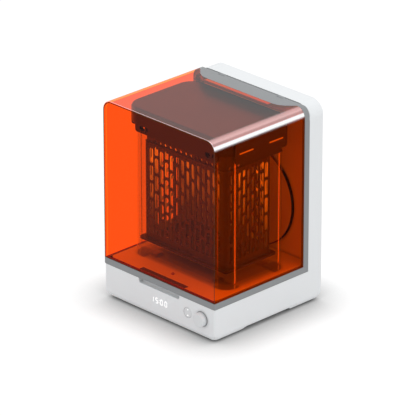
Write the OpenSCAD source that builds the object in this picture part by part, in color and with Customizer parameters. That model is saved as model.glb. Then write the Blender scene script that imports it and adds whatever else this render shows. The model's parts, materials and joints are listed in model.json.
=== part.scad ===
// Bench-top washing and light curing unit for dental prints.
// A white base and a slim rear lamp housing carry an orange hood in a grey frame.
// Under the hood stands a clear tank with a dark lid, and a slotted basket hangs in it.
// X runs to the right, Y to the rear, Z up; the underside of the feet is at Z = 0.

/* [Casing] */
// Width of the whole unit
body_w = 230; // [200:1:270]
// Depth of the whole unit without the knob
body_d = 221; // [205:1:250]
// Height of the base, up to the hood frame
base_h = 54; // [48:1:64]
// Height of the hood and of the rear housing
body_h = 315; // [300:1:360]
// Wall of the white casing
shell_t = 2.5; // [2:0.5:4]
// Rounding of the bottom edges
bottom_r = 11; // [6:1:12]
// Radius of the upright edges of the base
edge_r = 3; // [1:0.5:5]
// Radius of the top corners of the rear housing
housing_r = 24; // [20:1:32]
// Depth of the rear housing
housing_d = 29; // [26:1:40]
// Distance by which the rubber feet lift the casing
foot_lift = 1; // [0.5:0.5:3]
// Diameter of a rubber foot
foot_d = 16; // [10:1:20]

/* [Underside arch] */
// Depth of the front foot strip
arch_front = 52; // [30:1:70]
// Length of the ramp behind the front foot strip
arch_ramp = 13; // [5:1:20]
// Depth of the rear foot strip
arch_rear = 60; // [30:1:80]
// Height of the arch between the foot strips
arch_h = 6.5; // [2:0.5:8]

/* [Hood] */
// Depth of the upright grey frame behind the clear hood
frame_depth = 10; // [8:1:14]
// Wall of the clear hood
hood_t = 3; // [2:0.5:4]
// Radius of the bends that run along the top of the hood
hood_r = 16; // [12:1:22]
// Height of the grey band under the hood
band_h = 10; // [8:1:14]
// Wall of the grey frame
frame_t = 5; // [4.5:0.5:7]
// Thickness of the grey frame at the top
tab_t = 8; // [7:0.5:10]
// Distance by which the tab reaches forward of the frame
tab_reach = 20; // [16:1:30]
// Distance of the ends of the tab's straight front edge from the sides
tab_in = 49; // [45:1:65]
// Large radius of the tab's corners
tab_r = 34; // [20:1:38]
// Gap between the hood frame and the casing
hood_gap = 0.4; // [0.3:0.1:1]

/* [Hinge] */
// Radius of the hinge barrels
barrel_r = 3; // [2.5:0.5:3.5]
// Diameter of the hinge pins
pin_d = 3; // [2:0.5:3]
// Length of a hinge barrel
barrel_w = 12; // [8:1:20]
// Distance of each hinge barrel from the middle
barrel_x = 60; // [40:1:80]
// Length by which a pin enters the frame on each side of its barrel
pin_grip = 6; // [4:1:10]
// Radial clearance of the pins in the frame
pin_play = 0.05; // [0.02:0.01:0.1]
// Gap on each side of a barrel
barrel_gap = 0.3; // [0.2:0.1:0.5]

/* [Finger notch] */
// Width of the notch
notch_w = 85; // [60:1:100]
// Height of the notch below the hood frame
notch_h = 7; // [5:0.5:10]
// Depth of the notch
notch_d = 9; // [6:0.5:12]
// Radius of the notch's lower corners
notch_r = 4; // [2:0.5:5]

/* [Controls] */
// Height of the control row above the table
control_z = 32.5; // [29:0.5:36]
// Distance from the start button to the knob
button_step = 29.5; // [27:0.5:40]
// Diameter of the start button
button_d = 16; // [12:0.5:18]
// Travel of the start button
button_travel = 1; // [0.5:0.1:1.4]
// Distance of the knob's middle from the right side
knob_in = 26; // [23:0.5:31]
// Diameter of the knob
knob_d = 21.5; // [16:0.5:24]
// Distance by which the knob stands out of the front
knob_out = 8.5; // [5:0.5:14]
// Diameter of the encoder shaft
shaft_d = 6; // [4:0.5:6]
// Middle of the display from the middle of the unit
display_x = 0; // [-20:1:8]
// Height of the middle of the display
display_z = 30; // [26:0.5:33]
// Width of the display window
display_w = 40; // [37:1:46]
// Height of the display window
display_h = 13; // [12:0.5:16]
// Height of a digit
digit_h = 9.2; // [7:0.2:9.6]

/* [Chamber] */
// Height of the deck above the base
deck_h = 11; // [10.5:0.5:14]
// Gap between the deck and the hood frame
deck_gap = 0.8; // [0.5:0.1:2]
// Radius of the deck's front corners
deck_r = 8; // [4:1:12]
// Depth of the chamber wall behind the front of the rear housing
wall_set = 6.5; // [5:0.5:9]
// Thickness of the chamber wall
wall_t = 2; // [1.5:0.5:3]
// Diameter of the lamp ring
lamp_d = 158; // [120:1:166]
// Depth of the lamp's lower edge below the top of the deck
lamp_sink = 2; // [-20:0.5:5]
// Thickness of the black lamp ring
ring_t = 1.8; // [1:0.2:3]
// Distance by which the lamp stands out of the wall
lamp_out = 4; // [2:0.5:4.5]

/* [Tank] */
// Gap between the side latches and the hood's grey band
side_gap = 0.5; // [0.4:0.1:4]
// Gap between the tank and the hood's front wall
tank_front = 36; // [30:1:42]
// Gap between the tank and the back of the hood
tank_back = 18; // [12:1:26]
// Gap between the lid and the grey frame above it
lid_gap = 5; // [4:1:12]
// Wall of the tank
tank_t = 3; // [2:0.5:4]
// Radius of the tank's upright corners
tank_r = 20; // [12:1:26]
// Height of the tank's feet
tank_foot_h = 4; // [3:0.5:6]
// Distance of the locating pads from the sides of the tank
pad_in_x = 35; // [32:1:45]
// Distance of the locating pads from the front and rear of the tank
pad_in_y = 18.5; // [17:0.5:28]
// Side of a locating pad
pad_w = 15; // [10:0.5:18]

/* [Tank lid] */
// Overhang of the lid over the tank
lid_over = 6; // [5:0.5:7]
// Height of the lid's band
lid_h = 26; // [20:1:30]
// Thickness of the lid's top
lid_t = 4; // [3:0.5:6]
// Wall of the lid's band
lid_wall = 3; // [2:0.5:3.5]
// Height of the front and rear skirts under the band
skirt_h = 12.5; // [8:0.5:16]
// Distance of the skirts' ends from the sides of the tank
skirt_in = 14; // [12:1:40]
// Distance of a side latch's ends from the front and rear of the tank
latch_in = 10; // [8:1:24]
// Height of a side latch with its lip
latch_h = 39; // [34:1:42]
// Thickness of a side latch
latch_t = 2.5; // [2:0.5:3]
// Length of a slot in a side latch
latch_slot = 29; // [15:1:31]

/* [Basket] */
// Gap between the basket and the side walls of the tank
basket_side = 11; // [9:1:30]
// Gap between the basket and the front wall of the tank
basket_front_gap = 10.5; // [9:0.5:20]
// Gap between the basket and the rear wall of the tank
basket_rear_gap = 16.5; // [9:0.5:24]
// Depth of the basket walls' top edge below the top of the tank
basket_drop = 50; // [36:1:80]
// Height of the basket's underside above the deck
basket_lift = 23; // [20:1:30]
// Thickness of the basket's sheet
sheet_t = 2; // [1.5:0.5:3]
// Overhang of the basket's bottom plate
plate_over = 6; // [2:0.5:7]
// Width of a slot in the front and rear
slot_w = 7; // [4:0.5:8]
// Width of a slot in the sides
side_slot_w = 6; // [4:0.5:7]
// Length of a slot
slot_l = 24; // [12:1:30]
// Web between the ends of two slots
slot_web = 3.8; // [2:0.2:6]
// Spacing of the slot columns at the front and rear
slot_dx = 10.7; // [9:0.1:14]
// Spacing of the slot columns at the sides
slot_dy = 8.9; // [8:0.1:14]
// Width of the plain strips at the ends of the front and rear
corner_w = 9; // [7:0.5:14]
// Radius of the basket's upright edges
basket_r = 5.5; // [4:0.5:7]

/* [Drive] */
// Diameter of the stirrer
stirrer_d = 60; // [40:1:70]
// Number of stirrer blades
stirrer_blades = 6; // [3:1:8]
// Diameter of the drive motor
motor_d = 36; // [28:1:42]
// Height of the drive motor
motor_h = 20; // [14:1:22]
// Diameter of the magnet disc
disc_d = 50; // [40:1:60]

/* [Fan] */
// Side of the fan
fan_w = 60; // [50:1:70]
// Thickness of the fan
fan_t = 10; // [8:0.5:10]
// Number of fan blades
fan_blades = 7; // [5:1:9]

/* [Hidden] */
$fn = 64;

white = [0.86, 0.87, 0.87];
grey = [0.55, 0.56, 0.56];
orange = [1, 0.33, 0, 0.5];
dark = [0.13, 0.11, 0.11];
black = [0.05, 0.05, 0.05];
steel = [0.7, 0.71, 0.73];
green = [0.1, 0.35, 0.2];
clear = [0.85, 0.9, 0.92, 0.4];

// Small overlap that keeps a cut clear of the face it starts from
cut = 0.1;
half_w = body_w / 2;
// The origin is below the middle of the unit with its knob
front_y = -(body_d - knob_out) / 2;
deck_z = base_h + deck_h;
parting_y = body_d - housing_d;
hood_d = parting_y - frame_depth;
wall_y = parting_y + wall_set;
frame_z = base_h + hood_gap;
hood_z = base_h + band_h;
frame_rear = parting_y - hood_gap;
pivot_y = frame_rear - barrel_r;
pivot_z = body_h - barrel_r;
plate_t = 2.5;
plate_z = foot_lift + arch_h;
plate_inset = 12;
wall_foot = foot_lift + bottom_r;
boss_x = half_w - plate_inset - 5;
boss_y = [30, body_d - 30];
boss_d = 9;
boss_rib = 2;
screw_d = 2.9;
screw_head_d = 5.6;
screw_head_t = 1.6;
control_wall = shell_t;
knob_x = half_w - knob_in;
button_x = knob_x - button_step;
button_gap = 0.25;
knob_seat = 1;
screw_l = 12;
deck_inner_x = half_w - frame_t - deck_gap - plate_t - 6;
rear_z = base_h - 24;
jack_x = 35 - half_w;
jack_d = 12;
rocker_x = jack_x + 30;
switch_w = 19;
switch_h = 13;
foot_x = half_w - plate_inset - 20;
foot_y = [plate_inset + 22, body_d - plate_inset - 22];
strip_w = notch_w + 10;
strip_d = 5;
strip_y = 11;
sensor_y = 28;
sensor_d = 5;
post_x = 30;
post_d = 7;
catch_d = 3.5;
catch_t = 2;
catch_x = notch_w / 2 + 12;
housing_t = 3;
arm_l = wall_set - 0.5;
arm_t = 4;
cover_t = 2.5;
cover_y = body_d - cover_t;
cover_screw_x = half_w - 12;
cover_screw_z = [base_h + 12, body_h - 34];
cover_boss_l = 10;
cover_head_t = 1.5;
ring_back = wall_y + wall_t;
lamp_front = wall_y - lamp_out;
lamp_z = deck_z + lamp_d / 2 - lamp_sink;
window_t = 3;
board_t = 1.6;
board_y = ring_back;
led_t = 1.2;
led_w = 5;
led_step = lamp_d / 6;
led_rings = [[1, 0], [6, 1], [12, 2]];
sink_t = 2;
fin_h = 3;
fin_step = 7;
sink_y = board_y + board_t;
fan_y = cover_y - fan_t;
hub_d = 24;
hub_t = 2;
spindle_d = 3;
spin_play = 0.06;
tab_w = body_w - 2 * tab_in;
tab_turn = 45;
tab_small_r = 7;
digit_w = digit_h * 0.6;
digit_pitch = digit_w + 3.6;
colon_gap = 0.8;
bar_w = 1.3;
bar_gap = 0.2;
digit_depth = 0.6;
board_front = 14;
pcb_t = 1.6;
pcb_x = [display_x - display_w / 2 - 4, half_w - 16];
notch_floor = base_h - notch_h - shell_t;
pcb_z = [plate_z + plate_t + 3, notch_floor - 2];
button_set = 0.2;
button_back = control_wall + 0.1;
button_rim = 1.5;
light_t = 1;
button_rim_t = 1;
light_d = 2;
knob_edge = 0.8;
encoder_y = shell_t + 2.5;
encoder_bore = 7;
encoder_w = 13;
shaft_play = 0.05;
light_dz = 4.6;
supply_w = 52;
supply_d = 50;
supply_x = 23 - half_w;
supply_y = body_d - 83;
supply_post = 4;
supply_edge = 4;
spacer_d = 5;
coil_w = 20;
coil_h = 16;
can_d = 14;
can_h = 18;
rocker_turn = 8;
rocker_w = 14;
rocker_axis_y = body_d - 4;
bracket_t = 2;
bracket_edge = 12;
bracket_r = 5;
bracket_bore = 12;
motor_z = base_h - motor_h - 14;
drive_shaft_d = 5;
disc_t = 5;
disc_z = deck_z - plate_t - 1.5 - disc_t;
magnet_r = disc_d / 2 - 6;
floor_z = deck_z + tank_foot_h;
floor_top = floor_z + tank_t;
stirrer_h = 9;
stirrer_pin_d = 4;
rim_t = 1.5;
rim_low = 28;
rim_high = 18;
seal_t = 4;
lid_top = body_h - tab_t - lid_gap;
tank_top = lid_top - lid_t - seal_t;
lip_out = 2;
lid_out = lid_over + latch_t + lip_out;
tank_w = body_w - 2 * (frame_t + side_gap + lid_out);
tank_d = hood_d - hood_t - tank_front - tank_back;
tank_y = hood_t + tank_front + tank_d / 2;
pad_dx = tank_w - 2 * pad_in_x;
pad_dy = tank_d - 2 * pad_in_y;
foot_w = 26;
rib_z = tank_top - 15.5;
rib_t = 1.5;
lid_half = tank_w / 2 + lid_over;
rib_reach = lid_over + latch_t - 0.3;
lid_low = lid_top - lid_h;
lid_edge_r = 2.5;
skirt_w = tank_w - 2 * skirt_in;
boss_dx = skirt_w / 2 - 17;
skirt_t = 2.5;
eye_t = 2;
eye_y = tank_d / 2 + lid_over - eye_t / 2;
skirt_y = eye_y - eye_t / 2 - skirt_t / 2;
eye_drop = 2.5;
eye_d = 16;
eye_wall = 2.5;
latch_top = lid_top - 5;
lip_h = 5;
lip_in = 11;
latch_r = 5;
latch_w = tank_d - 2 * latch_in;
latch_slot_dx = latch_w - latch_slot - 16;
plate_low = deck_z + basket_lift;
basket_plate_t = 3;
basket_low = plate_low + basket_plate_t;
basket_top = tank_top - basket_drop;
basket_h = basket_top - basket_low;
basket_w = tank_w - 2 * (tank_t + basket_side);
basket_d = tank_d - 2 * tank_t - basket_front_gap - basket_rear_gap;
basket_y = tank_y - tank_d / 2 + tank_t + basket_front_gap + basket_d / 2;
collar_w = basket_w - 2 * sheet_t;
collar_d = basket_d - 2 * sheet_t;
collar_overlap = 8;
hole_d = 5;
slots_low = basket_low + 10;
slots_high = basket_top - 4;
pitch_z = slot_l + slot_web;

// Places what is drawn from the front face in the unit's own frame
module unit() {
    translate([0, front_y, 0]) children();
}

// Extrudes an XZ outline along Y
module along_y(y0, y1) {
    translate([0, y1, 0])
        rotate([90, 0, 0])
            linear_extrude(height = y1 - y0) children();
}

// Extrudes a YZ outline along X
module along_x(x0, x1) {
    translate([x0, 0, 0])
        rotate([90, 0, 90])
            linear_extrude(height = x1 - x0) children();
}

// Rectangle with round corners, centred
module rounded_rect(w, h, r) {
    square([w - 2 * r, h], center = true);
    square([w, h - 2 * r], center = true);
    for (sx = [-1, 1], sy = [-1, 1])
        translate([sx * (w / 2 - r), sy * (h / 2 - r)]) circle(r = r);
}

// Upright outline with round top corners, standing on its lower edge
module arch_outline(w, h, r) {
    translate([-w / 2, 0]) square([w, h - r]);
    translate([-w / 2 + r, 0]) square([w - 2 * r, h]);
    for (s = [-1, 1])
        translate([s * (w / 2 - r), h - r]) circle(r = r);
}

// Slot with round ends, centred, long side along Y
module slot_outline(w, l) {
    square([w, l - w], center = true);
    for (s = [-1, 1])
        translate([0, s * (l - w) / 2]) circle(d = w, $fn = 24);
}

// Ring of round corners, centred
module rounded_ring(w, h, r, t) {
    difference() {
        rounded_rect(w, h, r);
        rounded_rect(w - 2 * t, h - 2 * t, r - t);
    }
}

// Screw with a pan head below and a plain shank above
module screw(head_d, head_h, shank_d, shank_l) {
    cylinder(d = head_d, h = head_h, $fn = 24);
    translate([0, 0, head_h]) cylinder(d = shank_d, h = shank_l, $fn = 24);
}

// Base

// Casing block with round lower edges and upright edges
module base_block() {
    hull()
        for (sx = [-1, 1], rear = [0, 1]) {
            y = rear * body_d;
            inward = 1 - 2 * rear;
            translate([sx * (half_w - edge_r), y + inward * edge_r, foot_lift + bottom_r])
                cylinder(r = edge_r, h = base_h - foot_lift - bottom_r, $fn = 32);
            translate([sx * (half_w - bottom_r), y + inward * bottom_r, foot_lift + bottom_r])
                sphere(r = bottom_r, $fn = 32);
        }
}

// Side view of the space under the middle of the base
module arch_cut() {
    rear_foot = body_d - arch_rear;
    along_x(-half_w - cut, half_w + cut)
        polygon([
            [arch_front, -cut],
            [arch_front, foot_lift],
            [arch_front + arch_ramp, plate_z],
            [rear_foot - arch_h, plate_z],
            [rear_foot, foot_lift],
            [rear_foot, -cut]
        ]);
}

// Scooped finger notch in the top of the front
module notch_cut() {
    floor_r = min(6, notch_h - 0.5);
    intersection() {
        along_x(-notch_w / 2, notch_w / 2)
            translate([0, base_h - notch_h]) {
                translate([-cut, 0]) square([notch_d - floor_r + cut, notch_h + cut]);
                translate([-cut, floor_r]) square([notch_d + cut, notch_h - floor_r + cut]);
                translate([notch_d - floor_r, floor_r]) circle(r = floor_r);
            }
        along_y(-cut, notch_d + cut)
            translate([0, base_h])
                mirror([0, 1]) arch_outline(notch_w, notch_h, notch_r);
    }
}

// Opening that the bottom plate closes
module bottom_opening(z0, z1) {
    translate([-half_w + plate_inset, plate_inset, z0])
        cube([body_w - 2 * plate_inset, body_d - 2 * plate_inset, z1 - z0]);
}

module base_shell() {
    inner_z = plate_z + plate_t;
    color(white) unit() difference() {
        base_block();
        arch_cut();
        notch_cut();
        difference() {
            union() {
                translate([-half_w + shell_t, shell_t, wall_foot])
                    cube([body_w - 2 * shell_t, body_d - 2 * shell_t, base_h - shell_t - wall_foot]);
                bottom_opening(inner_z, wall_foot + cut);
            }
            translate([-notch_w / 2 - shell_t, 0, base_h - notch_h - shell_t])
                cube([notch_w + 2 * shell_t, notch_d + shell_t, notch_h + shell_t]);
            // Screw bosses, each tied to the side wall by a rib
            for (sx = [-1, 1], y = boss_y) {
                translate([sx * boss_x, y, inner_z - cut])
                    cylinder(d = boss_d, h = base_h, $fn = 32);
                translate([sx * (boss_x + half_w) / 2, y, inner_z - cut + base_h / 2])
                    cube([half_w - boss_x, boss_rib, base_h], center = true);
            }
        }
        bottom_opening(-cut, inner_z);
        translate([-deck_inner_x, notch_d + 3 * shell_t, base_h - shell_t - cut])
            cube([2 * deck_inner_x, parting_y - notch_d - 5 * shell_t, shell_t + 2 * cut]);
        for (sx = [-1, 1], y = boss_y)
            translate([sx * boss_x, y, inner_z - cut])
                cylinder(d = screw_d - 0.4, h = screw_l + cut, $fn = 24);
        catch_magnets(base_h - catch_t, cut);
        window_place(-cut, control_wall + cut) rounded_rect(display_w, display_h, 2);
        along_y(-cut, shell_t + cut)
            translate([button_x, control_z]) circle(d = button_d + 2 * button_gap);
        along_y(-cut, shell_t + cut)
            translate([knob_x, control_z]) circle(d = shaft_d + 1);
        along_y(-cut, knob_seat)
            translate([knob_x, control_z]) circle(d = knob_d + 2);
        along_y(body_d - shell_t - cut, body_d + cut) {
            translate([jack_x, rear_z]) circle(d = jack_d);
            translate([rocker_x, rear_z]) square([switch_w, switch_h], center = true);
        }
    }
}

module bottom_plate() {
    play = 0.2;
    color(white) unit() difference() {
        translate([-half_w + plate_inset + play, plate_inset + play, plate_z])
            cube([
                body_w - 2 * (plate_inset + play),
                body_d - 2 * (plate_inset + play),
                plate_t
            ]);
        for (sx = [-1, 1], y = boss_y)
            translate([sx * boss_x, y, plate_z - cut])
                cylinder(d = screw_d + 0.4, h = plate_t + 2 * cut, $fn = 24);
        for (i = [-5:5])
            translate([i * 9, body_d / 2, plate_z - cut])
                linear_extrude(height = plate_t + 2 * cut) slot_outline(4, 46);
    }
}

module rubber_feet() {
    color(black) unit()
        for (sx = [-1, 1], y = foot_y)
            translate([sx * foot_x, y, 0]) {
                cylinder(d1 = foot_d - 2, d2 = foot_d, h = 1, $fn = 48);
                translate([0, 0, 1]) cylinder(d = foot_d, h = plate_z - 1, $fn = 48);
            }
}

module plate_screws() {
    color(steel) unit()
        for (sx = [-1, 1], y = boss_y)
            translate([sx * boss_x, y, plate_z - screw_head_t])
                screw(screw_head_d, screw_head_t, screw_d - 0.5, plate_t + screw_l - 1);
}

// Deck

module deck_outline(inset) {
    x = half_w - frame_t - deck_gap - inset;
    front = frame_t + deck_gap + inset;
    rear = wall_y - inset;
    r = deck_r - inset;
    translate([-x, front + r]) square([2 * x, rear - front - r]);
    translate([-x + r, front]) square([2 * x - 2 * r, r]);
    for (s = [-1, 1])
        translate([s * (x - r), front + r]) circle(r = r);
}

module deck_plate() {
    color(white) unit() difference() {
        translate([0, 0, base_h]) linear_extrude(height = deck_h) deck_outline(0);
        translate([0, 0, base_h - cut])
            linear_extrude(height = deck_h - plate_t + cut)
                difference() {
                    deck_outline(plate_t);
                    translate([-half_w, 0]) square([body_w, notch_d + plate_t]);
                    for (sx = [-1, 1], sy = [-1, 1])
                        translate([sx * post_x, tank_y + sy * post_x]) circle(d = post_d);
                }
        translate([0, strip_y, deck_z - 1])
            linear_extrude(height = 1 + cut) rotate([0, 0, 90]) slot_outline(strip_d, strip_w);
        translate([0, sensor_y, deck_z - plate_t - cut])
            cylinder(d = sensor_d, h = plate_t + 2 * cut);
        for (sx = [-1, 1], sy = [-1, 1])
            translate([sx * post_x, tank_y + sy * post_x, base_h - cut])
                cylinder(d = screw_d - 0.4, h = 6, $fn = 24);
        // Room for the foot of the lamp
        along_y(lamp_front, wall_y + cut)
            translate([0, lamp_z]) circle(d = lamp_d, $fn = 128);
    }
}

module tank_pads() {
    color(black) unit()
        for (sx = [-1, 1], sy = [-1, 1])
            translate([sx * pad_dx / 2, tank_y + sy * pad_dy / 2, deck_z])
                linear_extrude(height = tank_foot_h) rounded_rect(pad_w, pad_w, 3);
}

module hood_sensor() {
    color(black) unit()
        translate([0, sensor_y, deck_z - plate_t]) {
            cylinder(d = sensor_d, h = plate_t);
            translate([0, 0, plate_t])
                intersection() {
                    sphere(d = sensor_d);
                    cylinder(d = sensor_d, h = sensor_d);
                }
        }
}

// The two magnets that hold the hood closed, grown by cut below or above
module catch_magnets(z, grow) {
    for (sx = [-1, 1])
        translate([sx * catch_x, frame_t / 2, z])
            cylinder(d = catch_d, h = catch_t + grow, $fn = 32);
}

// Rear housing

module rear_housing() {
    h = body_h - base_h;
    color(white) unit() difference() {
        intersection() {
            along_y(parting_y, body_d)
                translate([0, base_h]) arch_outline(body_w, h, housing_r);
            translate([0, body_d / 2, 0])
                linear_extrude(height = body_h + cut) rounded_rect(body_w, body_d, edge_r);
        }
        along_y(parting_y - cut, body_d + cut)
            translate([0, base_h - cut])
                arch_outline(body_w - 2 * housing_t, h - housing_t + cut, housing_r - housing_t);
    }
    color(white) unit()
        for (sx = [-1, 1], z = cover_screw_z)
            along_y(cover_y - cover_boss_l, cover_y)
                difference() {
                    translate([sx * (half_w - housing_t / 2 + cover_screw_x - boss_d / 2) / 2, z])
                        square([half_w - housing_t / 2 - cover_screw_x + boss_d / 2, boss_d], center = true);
                    translate([sx * cover_screw_x, z]) circle(d = screw_d - 0.4, $fn = 24);
                }
}

module housing_fill(play) {
    translate([0, base_h])
        arch_outline(
            body_w - 2 * housing_t - 2 * play,
            body_h - base_h - housing_t - play,
            housing_r - housing_t - play
        );
}

module chamber_wall() {
    color(white) unit()
        along_y(wall_y, wall_y + wall_t)
            difference() {
                housing_fill(0);
                translate([0, lamp_z]) circle(d = lamp_d, $fn = 128);
            }
}

module rear_cover() {
    color(white) unit() difference() {
        along_y(cover_y, body_d)
            difference() {
                housing_fill(0.2);
                translate([0, lamp_z])
                    intersection() {
                        circle(d = fan_w - 4);
                        for (i = [-6:6])
                            translate([0, i * 4.4]) square([fan_w, 2.2], center = true);
                    }
                for (sx = [-1, 1], z = cover_screw_z)
                    translate([sx * cover_screw_x, z]) circle(d = screw_d + 0.3, $fn = 24);
                for (i = [-9:9])
                    translate([i * 8, body_h - 48]) slot_outline(3, 22);
            }
        for (sx = [-1, 1], z = cover_screw_z)
            along_y(body_d - cover_head_t, body_d + cut)
                translate([sx * cover_screw_x, z]) circle(d = screw_head_d + 0.4, $fn = 24);
    }
}

module cover_screws() {
    color(steel) unit()
        for (sx = [-1, 1], z = cover_screw_z)
            translate([sx * cover_screw_x, body_d, z])
                rotate([90, 0, 0])
                    screw(screw_head_d, cover_head_t, screw_d - 0.5, cover_boss_l);
}

// Lamp

module lamp_place(y) {
    translate([0, y, lamp_z]) rotate([-90, 0, 0]) children();
}

module lamp_ring() {
    color(black) unit()
        lamp_place(lamp_front)
            linear_extrude(height = ring_back - lamp_front)
                difference() {
                    circle(d = lamp_d, $fn = 128);
                    circle(d = lamp_d - 2 * ring_t, $fn = 128);
                }
}

module lamp_window() {
    color(white) unit()
        lamp_place(lamp_front + 0.4)
            cylinder(d = lamp_d - 2 * ring_t, h = window_t, $fn = 128);
}

module led_board() {
    color(green) unit()
        lamp_place(board_y) cylinder(d = lamp_d + 8, h = board_t, $fn = 96);
}

module uv_leds() {
    color(white) unit()
        for (ring = led_rings, i = [0:ring[0] - 1])
            lamp_place(board_y - led_t)
                rotate([0, 0, i * 360 / ring[0]])
                    translate([ring[1] * led_step - led_w / 2, -led_w / 2, 0])
                        cube([led_w, led_w, led_t]);
}

module heat_sink() {
    n = floor((lamp_d / 2 - 9) / fin_step - 0.5);
    color(steel) unit() {
        lamp_place(sink_y) cylinder(d = lamp_d - 16, h = sink_t, $fn = 96);
        lamp_place(sink_y + sink_t)
            linear_extrude(height = fin_h)
                intersection() {
                    circle(d = lamp_d - 18, $fn = 96);
                    for (i = [-n:n])
                        translate([i * fin_step, 0]) square([1.5, lamp_d], center = true);
                }
    }
}

// Fan

module fan_frame() {
    color(black) unit()
        lamp_place(fan_y) {
            linear_extrude(height = fan_t)
                difference() {
                    rounded_rect(fan_w, fan_w, 4);
                    circle(d = fan_w - 3);
                    for (sx = [-1, 1], sy = [-1, 1])
                        translate([sx, sy] * (fan_w / 2 - 4.5)) circle(d = 3.4, $fn = 24);
                }
            translate([0, 0, fan_t - hub_t]) {
                cylinder(d = hub_d, h = hub_t);
                for (a = [45:90:315])
                    rotate([0, 0, a])
                        translate([hub_d / 2 - 1, -1.5, 0])
                            cube([fan_w / 2 - hub_d / 2 + 0.5, 3, hub_t]);
            }
            cylinder(d = spindle_d, h = fan_t - hub_t, $fn = 32);
        }
}

module fan_rotor() {
    depth = fan_t - hub_t - 1;
    color(black) unit()
        lamp_place(fan_y + 0.5)
            difference() {
                union() {
                    cylinder(d = hub_d, h = depth);
                    for (i = [0:fan_blades - 1])
                        rotate([0, 0, i * 360 / fan_blades])
                            translate([hub_d / 2 - 1, 0, depth / 2])
                                rotate([38, 0, 0])
                                    translate([0, -depth / 2, -0.6])
                                        cube([fan_w / 2 - hub_d / 2 - 2.5, depth, 1.2]);
                }
                translate([0, 0, -cut])
                    cylinder(d = spindle_d + 2 * spin_play, h = depth + 2 * cut, $fn = 32);
            }
}

// Hood

// Half of the S-shaped edge of the tab, from its straight front to the frame
function arc(cx, cy, r, a0, a1, n) =
    [for (i = [0:n]) let (a = a0 + (a1 - a0) * i / n) [cx + r * cos(a), cy + r * sin(a)]];

function tab_side(grow) =
    let (
        r1 = tab_r + grow,
        r2 = tab_small_r - grow,
        front = hood_d - tab_reach - grow,
        drop = (tab_r + tab_small_r) * (1 - cos(tab_turn)),
        run = (tab_reach - drop) / sin(tab_turn),
        x2 = tab_w / 2 + (tab_r + tab_small_r) * sin(tab_turn) + run * cos(tab_turn)
    )
    concat(
        arc(tab_w / 2, front + r1, r1, -90, -90 + tab_turn, 10),
        arc(x2, hood_d - grow - r2, r2, 90 + tab_turn, 90, 4)
    );

// Plan of the tab, closed behind the front of the frame
module tab_outline(grow) {
    right = tab_side(grow);
    left = [for (i = [len(right) - 1:-1:0]) [-right[i][0], right[i][1]]];
    last = right[len(right) - 1];
    polygon(concat(right, [[last[0], hood_d + 2], [-last[0], hood_d + 2]], left));
}

module hood_outline(inset) {
    translate([0, hood_z])
        arch_outline(body_w - 2 * inset, body_h - hood_z - inset, hood_r - inset);
}

module hood_shell() {
    color(orange) unit() difference() {
        along_y(0, hood_d) hood_outline(0);
        along_y(hood_t, hood_d + cut)
            translate([0, -cut]) hood_outline(hood_t);
        translate([0, 0, body_h - tab_t])
            linear_extrude(height = tab_t + cut) tab_outline(0);
    }
}

module frame_arch() {
    z = body_h - tab_t;
    difference() {
        translate([0, frame_z])
            arch_outline(body_w, body_h - frame_z, hood_r);
        translate([0, frame_z - cut])
            arch_outline(body_w - 2 * frame_t, z - frame_z + cut, hood_r - frame_t);
    }
}

module hood_frame() {
    color(grey) unit() difference() {
        union() {
            along_y(hood_d, frame_rear) frame_arch();
            translate([0, 0, frame_z])
                linear_extrude(height = hood_z - frame_z)
                    difference() {
                        translate([-half_w, 0]) square([body_w, frame_rear]);
                        translate([-half_w + frame_t, frame_t])
                            square([body_w - 2 * frame_t, frame_rear]);
                    }
            intersection() {
                translate([0, 0, body_h - tab_t])
                    linear_extrude(height = tab_t) tab_outline(0);
                along_y(0, hood_d + 3)
                    translate([0, hood_z])
                        arch_outline(body_w, body_h - hood_z, hood_r);
            }
        }
        // Round rear edge about the hinge pins
        along_x(-half_w - cut, half_w + cut)
            difference() {
                translate([pivot_y, pivot_z]) square(barrel_r + cut);
                translate([pivot_y, pivot_z]) circle(r = barrel_r);
            }
        for (s = [-1, 1]) {
            w = barrel_w + 2 * barrel_gap;
            d = 2 * barrel_r + barrel_gap;
            translate([s * barrel_x - w / 2, frame_rear - d, body_h - d])
                cube([w, d + cut, d + cut]);
            pin_l = barrel_w / 2 + pin_grip;
            along_x(s * barrel_x - pin_l, s * barrel_x + pin_l)
                translate([pivot_y, pivot_z]) circle(d = pin_d + 2 * pin_play, $fn = 32);
        }
        translate([0, 0, -cut]) catch_magnets(frame_z, cut);
    }
}

module hood_magnets() {
    color(steel) unit() catch_magnets(frame_z, 0);
}

module base_magnets() {
    color(steel) unit() catch_magnets(base_h - catch_t, 0);
}

// Barrels flush with the grey frame, on arms under the top of the rear housing
module hinge_barrels() {
    color(grey) unit()
        for (s = [-1, 1])
            difference() {
                along_x(s * barrel_x - barrel_w / 2, s * barrel_x + barrel_w / 2) {
                    translate([pivot_y, pivot_z]) circle(r = barrel_r);
                    translate([pivot_y, pivot_z - barrel_r])
                        square([parting_y - pivot_y, 2 * barrel_r]);
                    translate([parting_y - cut, body_h - housing_t - arm_t])
                        square([arm_l + cut, arm_t]);
                }
                along_x(s * barrel_x - barrel_w, s * barrel_x + barrel_w)
                    translate([pivot_y, pivot_z]) circle(d = pin_d, $fn = 32);
            }
}

module hinge_pins() {
    l = barrel_w / 2 + pin_grip - 0.1;
    color(steel) unit()
        for (s = [-1, 1])
            along_x(s * barrel_x - l, s * barrel_x + l)
                translate([pivot_y, pivot_z]) circle(d = pin_d, $fn = 32);
}

// Controls on the front

// Outline placed at the middle of the display and extruded into the front
module window_place(y0, y1) {
    along_y(y0, y1) translate([display_x, display_z]) children();
}

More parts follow.
